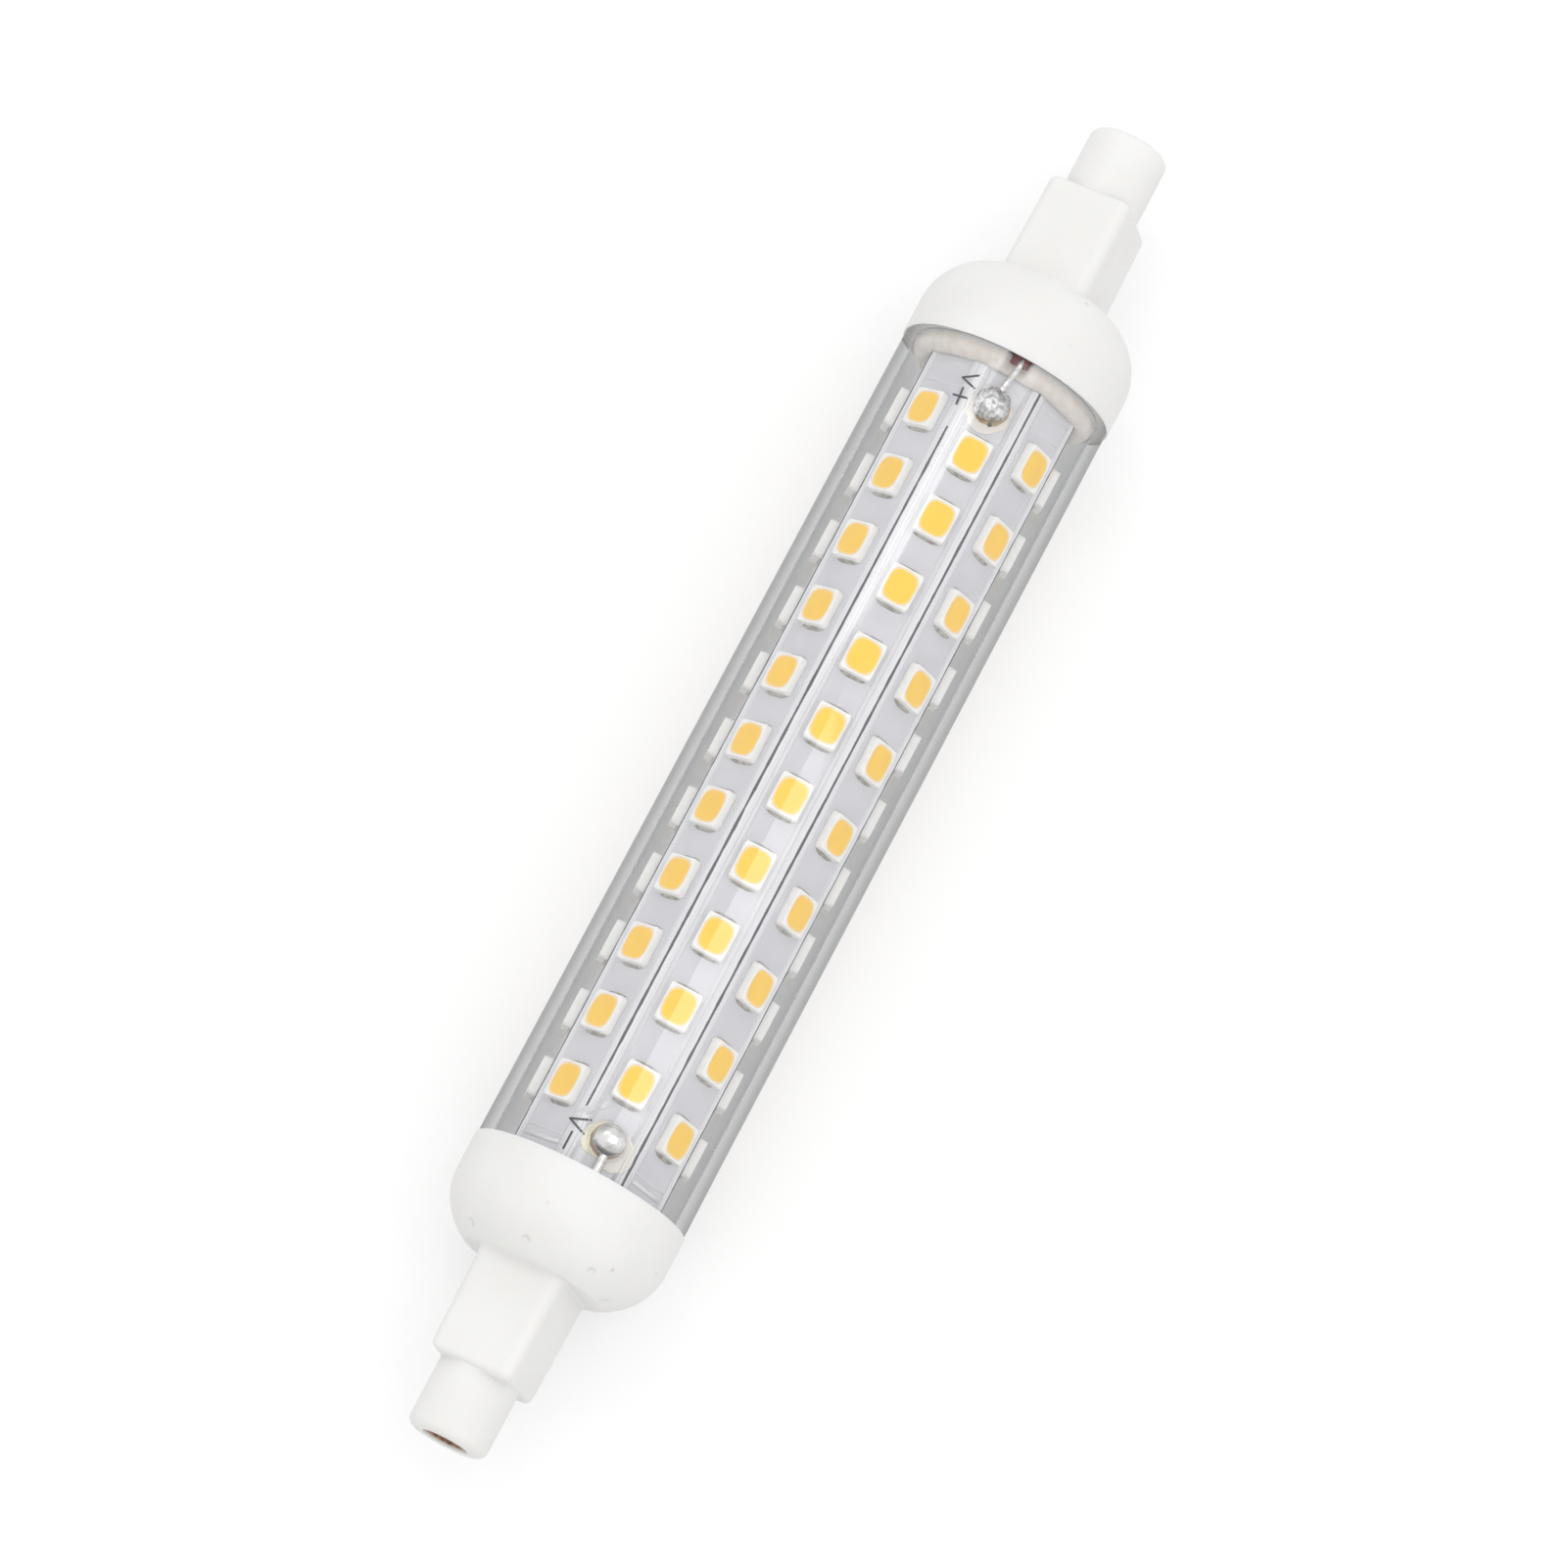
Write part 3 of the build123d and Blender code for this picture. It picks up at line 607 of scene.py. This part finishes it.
def sealant():
    """White silicone that bridges the gap between the board's V+ end and the cap.

    Each of its rings has a place along X, a share of the bore's radius, and a share of the unevenness.
    """
    dice = random.Random(9)
    angles = wheel(180)
    bulges = [dice.uniform(-1, 1) for _ in angles]
    bulges = [sum(bulges[(i + k) % 180] for k in range(-2, 3)) / 5 for i in range(180)]
    rings = []
    for x, share, swell in ((36.9, 0.72, 0.0), (35.9, 0.76, 0.2), (35.3, 0.86, 0.8), (35.26, 0.908, 1.0),
                            (35.36, 0.932, 1.0), (35.62, 0.965, 0.8), (35.9, 0.99, 0.2), (36.15, 1.0, 0.0),
                            (36.75, 1.0, 0.0), (36.82, 0.985, 0.0), (36.9, 0.98, 0.0)):
        row = []
        for angle, bulge in zip(angles, bulges):
            turn = (angle - BOARD_TURN) % math.radians(45) - math.radians(22.5)
            side = BOARD_APOTHEM / math.cos(math.radians(22.5) - abs(turn))
            blend = max(0.0, min(1.0, (0.96 - share) / 0.16))
            radius = blend * (side * share / 0.9) + (1 - blend) * share * 7.94
            push = 0.09 * swell * bulge
            beside_lead = (radius * math.cos(angle) + 0.19) / 1.06
            notch = math.exp(-beside_lead ** 8) if math.sin(angle) > 0 else 0.0
            radius += notch * min(0.0, 6.95 - radius)
            row.append((x + push, (radius + push) * math.cos(angle), (radius + push) * math.sin(angle)))
        rings.append(row)
    shape = Shape()
    shape.loft(rings, joined=True)
    return piece("sealant_bead", shape, SEALANT)


def spread(inset_minus, inset_plus, count):
    """Evenly spaced places between insets from the board's ends."""
    first = BOARD_MINUS_X + inset_minus
    step = (BOARD_PLUS_X - inset_plus - first) / (count - 1)
    return [first + step * index for index in range(count)]


def row_places(face):
    """Where the packages of one face are along X."""
    if face == 0:
        return [BOARD_MINUS_X + 9.8] + spread(16.7, 13.2, 8) + [BOARD_PLUS_X - 7.4]
    if face == 1:
        return spread(7.9, 5.3, 10)
    return spread(7.9, 5.1, 11)


def rounded_rectangle(half_x, half_y, corner, steps):
    """Points of a rectangle with round corners, anticlockwise."""
    out = []
    for quarter, (sx, sy) in enumerate(((1, 1), (-1, 1), (-1, -1), (1, -1))):
        for index in range(steps + 1):
            angle = math.radians(90 * quarter + 90 * index / steps)
            out.append((sx * (half_x - corner) + corner * math.cos(angle),
                        sy * (half_y - corner) + corner * math.sin(angle)))
    return out


def densified(outline, count):
    """The same outline with a given number of points, evenly spaced in direction."""
    out = []
    for angle in wheel(count):
        ux, uy = math.cos(angle), math.sin(angle)
        best = 0.0
        for (ax, ay), (bx, by) in zip(outline, outline[1:] + outline[:1]):
            det = ux * (by - ay) - uy * (bx - ax)
            if abs(det) < 1e-12:
                continue
            reach = (ax * (by - ay) - ay * (bx - ax)) / det
            share = (ax * uy - ay * ux) / det
            if reach > 0 and -1e-9 <= share <= 1 + 1e-9:
                best = max(best, reach)
        out.append((best * ux, best * uy))
    return out


def window_outline(grow, count):
    """The package's window: straight sides that bow a little, and wide round corners."""
    out = []
    for angle in wheel(count):
        ux, uy = math.cos(angle), math.sin(angle)
        power = 3.3
        reach = ((abs(ux) / (WINDOW_HALF_LENGTH + grow)) ** power
                 + (abs(uy) / (WINDOW_HALF_WIDTH + grow)) ** power) ** (-1 / power)
        out.append((reach * ux, reach * uy))
    return out


LOOP = 56
BODY_LOOPS = [
    (densified(rounded_rectangle(LED_HALF_LENGTH - inset, LED_HALF_WIDTH - inset, corner, 4), LOOP), height)
    for inset, corner, height in ((0.02, 0.12, 0.0), (0.0, 0.13, 0.05), (0.03, 0.13, 0.45),
                                  (0.05, 0.13, 0.68), (0.06, 0.12, 0.74), (0.085, 0.11, LED_TOP))
]
BODY_LOOPS += [
    (window_outline(0.05, LOOP), LED_TOP),
    (window_outline(0.01, LOOP), LED_TOP - 0.03),
    (window_outline(-0.03, LOOP), LED_TOP - 0.12),
    (window_outline(-0.25, LOOP), LED_TOP - 0.16),
]
FILL_LOOPS = [
    (window_outline(-0.04, LOOP), LED_TOP - 0.14, 1.0),
    (window_outline(0.0, LOOP), LED_TOP - 0.045, 1.0),
    (window_outline(-0.05, LOOP), LED_TOP - 0.05, 0.8),
    (window_outline(-0.11, LOOP), LED_TOP - 0.053, 0.3),
    (window_outline(-0.17, LOOP), LED_TOP - 0.055, 0.05),
    (window_outline(-0.40, LOOP), LED_TOP - 0.06, 0.0),
    (window_outline(-0.80, LOOP), LED_TOP - 0.06, 0.0),
]


def face_angle(face):
    return math.radians(45 * face)


def led_row(face):
    """The packages, fills and solder of one face."""
    angle = face_angle(face)
    dice = random.Random(40 + face)
    body, fill, solder = Shape(), Shape(), Shape()
    edge = []
    for x in row_places(face):
        x += dice.uniform(-0.05, 0.05)
        aside = dice.uniform(-0.05, 0.05)
        twist = math.radians(dice.uniform(-1.2, 1.2))
        cos, sin = math.cos(twist), math.sin(twist)

        def seat(point, height):
            u, v = point
            place = (x + u * cos - v * sin, aside + u * sin + v * cos, BOARD_APOTHEM + height)
            return board_turned(place, angle)

        body.solid([[seat(p, height) for p in outline] for outline, height in BODY_LOOPS])
        fill.solid([[seat(p, height) for p in outline] for outline, height, _ in FILL_LOOPS])
        edge += [tint for outline, _, tint in FILL_LOOPS for _ in outline]
        for end in (1, -1):
            reach, height = dice.uniform(0.19, 0.25), dice.uniform(0.16, 0.22)
            rows = []
            for step in range(9):
                v = -1.05 + 2.1 * step / 8
                full = 1 - 0.7 * abs(step / 4 - 1) ** 4
                near, far = LED_HALF_LENGTH - 0.12, LED_HALF_LENGTH + 0.03
                bow = reach * full * dice.uniform(0.93, 1.07)
                rise = height * full * dice.uniform(0.93, 1.07)
                profile = [(near, 0.0), (near, rise), (far, rise), (far + 0.25 * bow, 0.5 * rise),
                           (far + 0.6 * bow, 0.18 * rise), (far + bow, 0.0)]
                rows.append([seat((end * u, v), h) for u, h in profile])
            solder.solid(rows)
    number = face + 1
    piece(f"led_bodies_{number}", body, HOUSING, [f"led_housings_{number}"])
    # Slanted faces take the painted-sheen copy of the fill.
    look = PHOSPHOR if face in (0, 4) else PHOSPHOR_SIDE
    made = piece(f"led_fills_{number}", fill, look, [f"led_phosphors_{number}"])
    tints = made.data.attributes.new("edge", "FLOAT", "POINT")
    tints.data.foreach_set("value", edge)
    piece(f"led_fillets_{number}", solder, FILLET, [f"led_solder_{number}"])


def lump(x, y, radius, outline, roughness, seed, segments=56):
    """A lump of solder on the middle face, from shares of its radius and heights, roughened by noise."""
    rings = []
    for share, height in outline:
        row = []
        for angle in wheel(segments):
            u, v = math.cos(angle), math.sin(angle)
            probe = Vector((u * share * 1.6 + seed, v * share * 1.6, height * 1.7))
            push = noise.fractal(probe, 0.9, 2.0, 4) * roughness * min(1.0, height * 3 + 0.3)
            reach = radius * share * (1 + push)
            level = BOARD_APOTHEM + max(0.0, height + push * 0.4)
            row.append(board_turned((x + reach * u, y + reach * v, level)))
        rings.append(row)
    return rings


def solder_joints():
    x, y, radius = PLUS_JOINT
    rough = [(0.82, 0.0), (0.93, 0.18), (1.0, 0.42), (0.99, 0.62), (0.93, 0.82), (0.82, 1.0),
             (0.66, 1.13), (0.48, 1.20), (0.3, 1.23), (0.12, 1.24), (0.03, 1.24)]
    shape = Shape()
    shape.solid(lump(x, y, radius, rough, 0.16, 3.0))
    piece("solder_lump_plus", shape, DULL_SOLDER, ["solder_joint_plus"])
    x, y, radius = MINUS_JOINT
    round_top = [(0.86, 0.0), (0.94, 0.15), (1.0, 0.42), (0.98, 0.62), (0.91, 0.82), (0.79, 1.0),
                 (0.63, 1.14), (0.45, 1.22), (0.26, 1.26), (0.1, 1.27), (0.02, 1.27)]
    shape = Shape()
    shape.solid(lump(x, y, radius, round_top, 0.05, 11.0))
    piece("solder_lump_minus", shape, BRIGHT_SOLDER, ["solder_joint_minus"])


def blot(x, y, reaches, thickness, seed):
    """A thin stain with an uneven outline round a point. Its reach goes from +X round by +Y."""
    rings = []
    for share, height in ((1.0, 0.002), (0.97, thickness * 0.6), (0.86, thickness), (0.4, thickness * 0.8),
                          (0.05, thickness * 0.8)):
        row = []
        for index, angle in enumerate(wheel(64)):
            place = index / 64 * len(reaches)
            first = int(place)
            blend = place - first
            blend = blend * blend * (3 - 2 * blend)
            reach = reaches[first] * (1 - blend) + reaches[(first + 1) % len(reaches)] * blend
            waver = noise.noise(Vector((math.cos(angle) * 3 + seed, math.sin(angle) * 3, 0)))
            reach *= share * (1 + 0.06 * waver)
            row.append(board_turned((x + reach * math.cos(angle), y + reach * math.sin(angle),
                                     BOARD_APOTHEM + height)))
        rings.append(row)
    return rings


def flux():
    """Dried flux round the two joints: a brown rim close to the solder and paler stains further out."""
    x, y, _ = PLUS_JOINT
    stains = (
        ("flux_plus_rim", FLUX, x, y,
         (1.40, 1.38, 1.40, 1.47, 1.58, 1.62, 1.60, 1.52), 0.05, 2.0),
        ("flux_plus_pale", PALE_FLUX, x, y,
         (1.5, 1.5, 1.75, 2.2, 2.45, 2.15, 1.85, 1.6), 0.012, 3.0),
        # A small near-black spot at the foot of the V+ joint.
        ("dark_spot_plus", DARK_SPOT, x - 1.42, y - 0.58,
         (0.2, 0.15, 0.18, 0.16, 0.18, 0.15, 0.2, 0.16), 0.16, 7.0),
    )
    x, y, _ = MINUS_JOINT
    stains += (
        ("flux_minus_rim", FLUX, x, y,
         (1.36, 1.41, 1.47, 1.49, 1.45, 1.40, 1.38, 1.36), 0.06, 5.0),
        ("flux_minus_yellow", YELLOW_FLUX, x, y + 0.3,
         (1.2, 1.45, 1.75, 1.95, 1.6, 1.0, 0.8, 1.0), 0.014, 6.0),
        ("flux_minus_pale", PALE_FLUX, x - 0.3, y - 0.6,
         (1.3, 1.0, 1.0, 1.4, 1.9, 2.1, 1.75, 1.6), 0.010, 8.0),
    )
    for name, material, x, y, reaches, thickness, seed in stains:
        shape = Shape()
        shape.solid(blot(x, y, reaches, thickness, seed))
        piece(name, shape, material)


def stroke(shape, face, start, stop, width, height):
    """A flat printed or etched line on a face, round at its ends, between two (x, sideways) places."""
    (x0, v0), (x1, v1) = start, stop
    along = math.atan2(v1 - v0, x1 - x0)
    outline = []
    for (x, v), first in (((x1, v1), -90), ((x0, v0), 90)):
        for index in range(5):
            angle = along + math.radians(first + 45 * index)
            outline.append((x + width / 2 * math.cos(angle), v + width / 2 * math.sin(angle)))
    turn = face_angle(face)
    levels = (BOARD_APOTHEM + 0.001, BOARD_APOTHEM + height)
    shape.solid([[board_turned((x, v, level), turn) for x, v in outline] for level in levels])


def marks():
    """Printed polarity marks beside the two joints."""
    shape = Shape()
    lines = [((34.25, 2.30), (33.48, 3.38)), ((33.48, 3.38), (33.15, 2.16)), ((31.9, 3.4), (32.15, 2.3)),
             ((32.75, 2.97), (31.35, 2.84)), ((-32.7, 1.8), (-33.35, 3.3)), ((-33.35, 3.3), (-33.93, 1.8)),
             ((-34.2, 2.68), (-35.65, 2.68))]
    for start, stop in lines:
        stroke(shape, 0, start, stop, 0.17, 0.012)
    piece("polarity_marks", shape, MARK)


def traces():
    """Edges of the copper under the mask: lines along the folds, islands at the row ends and round pads."""
    shape = Shape()
    minus_end, plus_end = -38.2, 35.1
    lane, border, pad, half_pad = 1.93, 2.24, 1.6, 0.9
    fine, low, high = 0.06, 0.008, 0.014
    for face in range(8):
        for side in (1, -1):
            stroke(shape, face, (minus_end, side * lane), (plus_end, side * lane), 0.07, high)
            stroke(shape, face, (minus_end, side * border), (plus_end, side * border), 0.05, 0.012)
        for x in row_places(face):
            for side in (1, -1):
                corner = x + side * half_pad
                stroke(shape, face, (x - half_pad, side * pad), (x + half_pad, side * pad), fine, high)
                stroke(shape, face, (corner, side * pad), (corner, side * lane), fine, high)
        if face != 0:
            for x in (34.7, 32.9, -34.6, -36.6):
                stroke(shape, face, (x, -1.9), (x, 1.9), 0.1, high)
    for side in (1, -1):
        stroke(shape, 0, (-38.0, side * 1.8), (35.0, side * 1.8), 0.4, low)
        stroke(shape, side % 8, (-35.3, -1.7), (-35.3, 1.7), 0.4, low)
    stroke(shape, 0, (-30.7, 1.0), (-32.2, 2.3), 0.55, low)
    for x, y, radius in ((33.2, -0.75, 1.15), (32.6, 0.5, 1.62), (-33.5, -0.1, 1.65)):
        points = [(x + radius * math.cos(a), y + radius * math.sin(a)) for a in wheel(28)]
        for start, stop in zip(points, points[1:] + points[:1]):
            stroke(shape, 0, start, stop, fine, high)
    for start, stop in (((-30.4, 0.6), (-32.3, 2.1)), ((-30.9, 1.9), (-32.6, 3.05)),
                        ((-31.0, 0.9), (-31.0, -lane)), ((29.9, lane), (29.9, -lane))):
        stroke(shape, 0, start, stop, 0.09, high)
    piece("copper_edges", shape, TRACE)


def wire(name, points, radius, material, replaced):
    """A round wire or sleeve along a smooth spline."""
    curve = bpy.data.curves.new(name, "CURVE")
    curve.dimensions = "3D"
    curve.bevel_depth = radius * 0.001
    curve.bevel_resolution = 8
    curve.resolution_u = 16
    curve.use_fill_caps = True
    line = curve.splines.new("NURBS")
    line.points.add(len(points) - 1)
    for spot, point in zip(line.points, points):
        spot.co = (*(Vector(board_turned(point)) * 0.001), 1)
    line.order_u = 3
    line.use_endpoint_u = True
    curve.materials.append(material)
    made = bpy.data.objects.new(name, curve)
    bpy.context.scene.collection.objects.link(made)
    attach(made, "root")
    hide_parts(replaced)


def leads():
    """The two leads that come round the board's ends to the joints."""
    across, under, high = -0.19, 2.3, BOARD_APOTHEM + 0.28
    red = [(29.9, -1.9, 0.6), (33.4, across, under), (38.2, across, under), (38.2, across, high),
           (36.8, across, high), (36.2, across, high)]
    wire("red_sleeve", red, 0.95, RED, "plus_lead_insulation")
    bare = [(26.8, -2.6, -0.04), (28.5, -2.6, -0.04)] + red[:-1]
    bare += [(36.9, across, high + 0.7), (36.2, -0.18, high + 0.85), (35.5, -0.1, high + 0.6),
             (34.8, 0.05, high + 0.3), (33.7, 0.3, high + 0.3), (33.2, 0.34, high + 0.3)]
    wire("plus_wire", bare, 0.24, TINNED, "plus_lead_wire")
    across, high = -0.36, BOARD_APOTHEM + 0.38
    tinned = [(-28.8, -2.6, 0.06), (-30.5, -2.6, 0.06), (-31.5, -2.0, 0.7), (-36.5, across, under),
              (-41.2, across, under), (-41.2, across, high), (-38.0, across, high), (-34.2, -0.34, high)]
    wire("minus_wire", tinned, 0.34, TINNED, "minus_lead_wire")


def dress_hidden():
    """Materials for the pieces inside that keep their own shape."""
    finishes = {
        "liner": ("liner", (0.66, 0.62, 0.52), 0.35, 0.05, 2.0, 0.02),
        "driver_board": ("driver_board", (0.05, 0.16, 0.07), 0.4, 0.12, 0.8, 0.01),
        "fusible_resistor": ("glazed_resistor", (0.03, 0.03, 0.035), 0.25, 0.15, 0.3, 0.01),
        "bridge_rectifier": ("moulded_black", (0.03, 0.03, 0.03), 0.5, 0.15, 0.2, 0.01),
        "chip_capacitor": ("fired_tan", (0.42, 0.28, 0.15), 0.5, 0.1, 0.3, 0.01),
        "minus_lead_insulation": ("black_insulation", (0.03, 0.03, 0.03), 0.4, 0.1, 0.5, 0.02),
        "mains_insulation_plus": ("white_insulation", (0.72, 0.70, 0.66), 0.4, 0.04, 0.5, 0.02),
    }
    looks = {name: plain_paint(*finish).material for name, finish in finishes.items()}
    can = metal_paint("capacitor_can", (0.55, 0.55, 0.56), (0.72, 0.72, 0.73), 0.3, 0.6, 0.01)
    looks["smoothing_capacitor"] = can
    looks["led_board"] = BOARD
    looks["driver_solder"] = DULL_SOLDER
    looks["chip_resistors"] = looks["fusible_resistor"]
    looks["capacitor_base"] = looks["current_regulator"] = looks["bridge_rectifier"]
    looks["rectifier_legs"] = looks["regulator_legs"] = TINNED
    looks["mains_wire_plus"] = looks["mains_wire_minus"] = TINNED
    looks["mains_insulation_minus"] = looks["mains_insulation_plus"]
    for name, material in looks.items():
        slots = nodes[name].data.materials
        slots.clear()
        slots.append(material)


end_cap("end_cap_plus", 1)
end_cap("end_cap_minus", -1)
contact("contact_plus", 1)
contact("contact_minus", -1)
sleeve()
sealant()
for number in range(8):
    led_row(number)
solder_joints()
flux()
marks()
traces()
leads()
dress_hidden()


def white_for_viewer(material, colour, share):
    """A diffuse surface that looks white directly, in gloss and through glass, and keeps its shadows."""
    tree = material.node_tree
    shader = tree.nodes["Principled BSDF"]
    shader.inputs["Base Color"].default_value = (*colour, 1)
    shader.inputs["Roughness"].default_value = 0.9
    shader.inputs["Specular IOR Level"].default_value = 0.0
    path = tree.nodes.new("ShaderNodeLightPath")
    seen = tree.nodes.new("ShaderNodeMath")
    seen.operation = "MAXIMUM"
    tree.links.new(path.outputs["Is Camera Ray"], seen.inputs[0])
    tree.links.new(path.outputs["Is Glossy Ray"], seen.inputs[1])
    both = tree.nodes.new("ShaderNodeMath")
    both.operation = "MAXIMUM"
    tree.links.new(seen.outputs["Value"], both.inputs[0])
    tree.links.new(path.outputs["Is Transmission Ray"], both.inputs[1])
    scaled = tree.nodes.new("ShaderNodeMath")
    scaled.operation = "MULTIPLY"
    scaled.inputs[1].default_value = share
    tree.links.new(both.outputs["Value"], scaled.inputs[0])
    shader.inputs["Emission Color"].default_value = (1, 1, 1, 1)
    tree.links.new(scaled.outputs["Value"], shader.inputs["Emission Strength"])


def stage():
    """Plain pale floor under the lamp."""
    mesh = bpy.data.meshes.new("floor")
    far = 4.0
    height = -(CAP_RADIUS + 0.02) * 0.001
    corners = [(-far, -far, height), (far, -far, height), (far, far, height), (-far, far, height)]
    mesh.from_pydata(corners, [], [(0, 1, 2, 3)])
    floor = bpy.data.objects.new("floor", mesh)
    bpy.context.scene.collection.objects.link(floor)
    material = bpy.data.materials.new("floor_paper")
    material.use_nodes = True
    white_for_viewer(material, (0.62, 0.62, 0.62), 0.4)
    mesh.materials.append(material)


def area_light(name, place, size, power):
    """A soft rectangular lamp at place, in metres, that looks straight down."""
    light = bpy.data.lights.new(name, "AREA")
    light.shape = "RECTANGLE"
    light.size, light.size_y = size
    light.energy = power
    made = bpy.data.objects.new(name, light)
    bpy.context.scene.collection.objects.link(made)
    made.location = place


def studio():
    """Even white surroundings and two soft lamps overhead."""
    world = bpy.data.worlds.new("studio")
    bpy.context.scene.world = world
    world.use_nodes = True
    sky = world.node_tree.nodes["Background"]
    sky.inputs["Color"].default_value = (1, 1, 1, 1)
    sky.inputs["Strength"].default_value = 1.0
    area_light("lamp_plus", (0.33, 0.31, 0.8), (0.2, 0.25), 0.45)
    area_light("lamp_minus", (0.11, -0.22, 0.8), (0.18, 0.42), 0.36)


def camera():
    """The photograph's viewpoint: above the middle face, a little towards the V- end."""
    away = 0.6208
    lean = math.radians(13.24)
    back = Vector((-math.sin(lean), 0, math.cos(lean)))
    along = Vector((math.cos(lean), 0, math.sin(lean)))
    aside = Vector((0, -1, 0))
    right = 0.46828 * along + 0.88358 * aside
    up = 0.88358 * along - 0.46828 * aside
    eye = bpy.data.cameras.new("camera")
    eye.sensor_width = 36
    eye.lens = 8089.3 / 1601 * 36
    eye.shift_x = -11.7 / 1601
    eye.shift_y = -4.2 / 1601
    eye.clip_start = 0.01
    made = bpy.data.objects.new("camera", eye)
    bpy.context.scene.collection.objects.link(made)
    turn = Matrix((right, up, back)).transposed().to_4x4()
    made.matrix_world = Matrix.Translation(back * away) @ turn
    bpy.context.scene.camera = made


stage()
studio()
camera()
bpy.context.scene.view_settings.view_transform = "Standard"
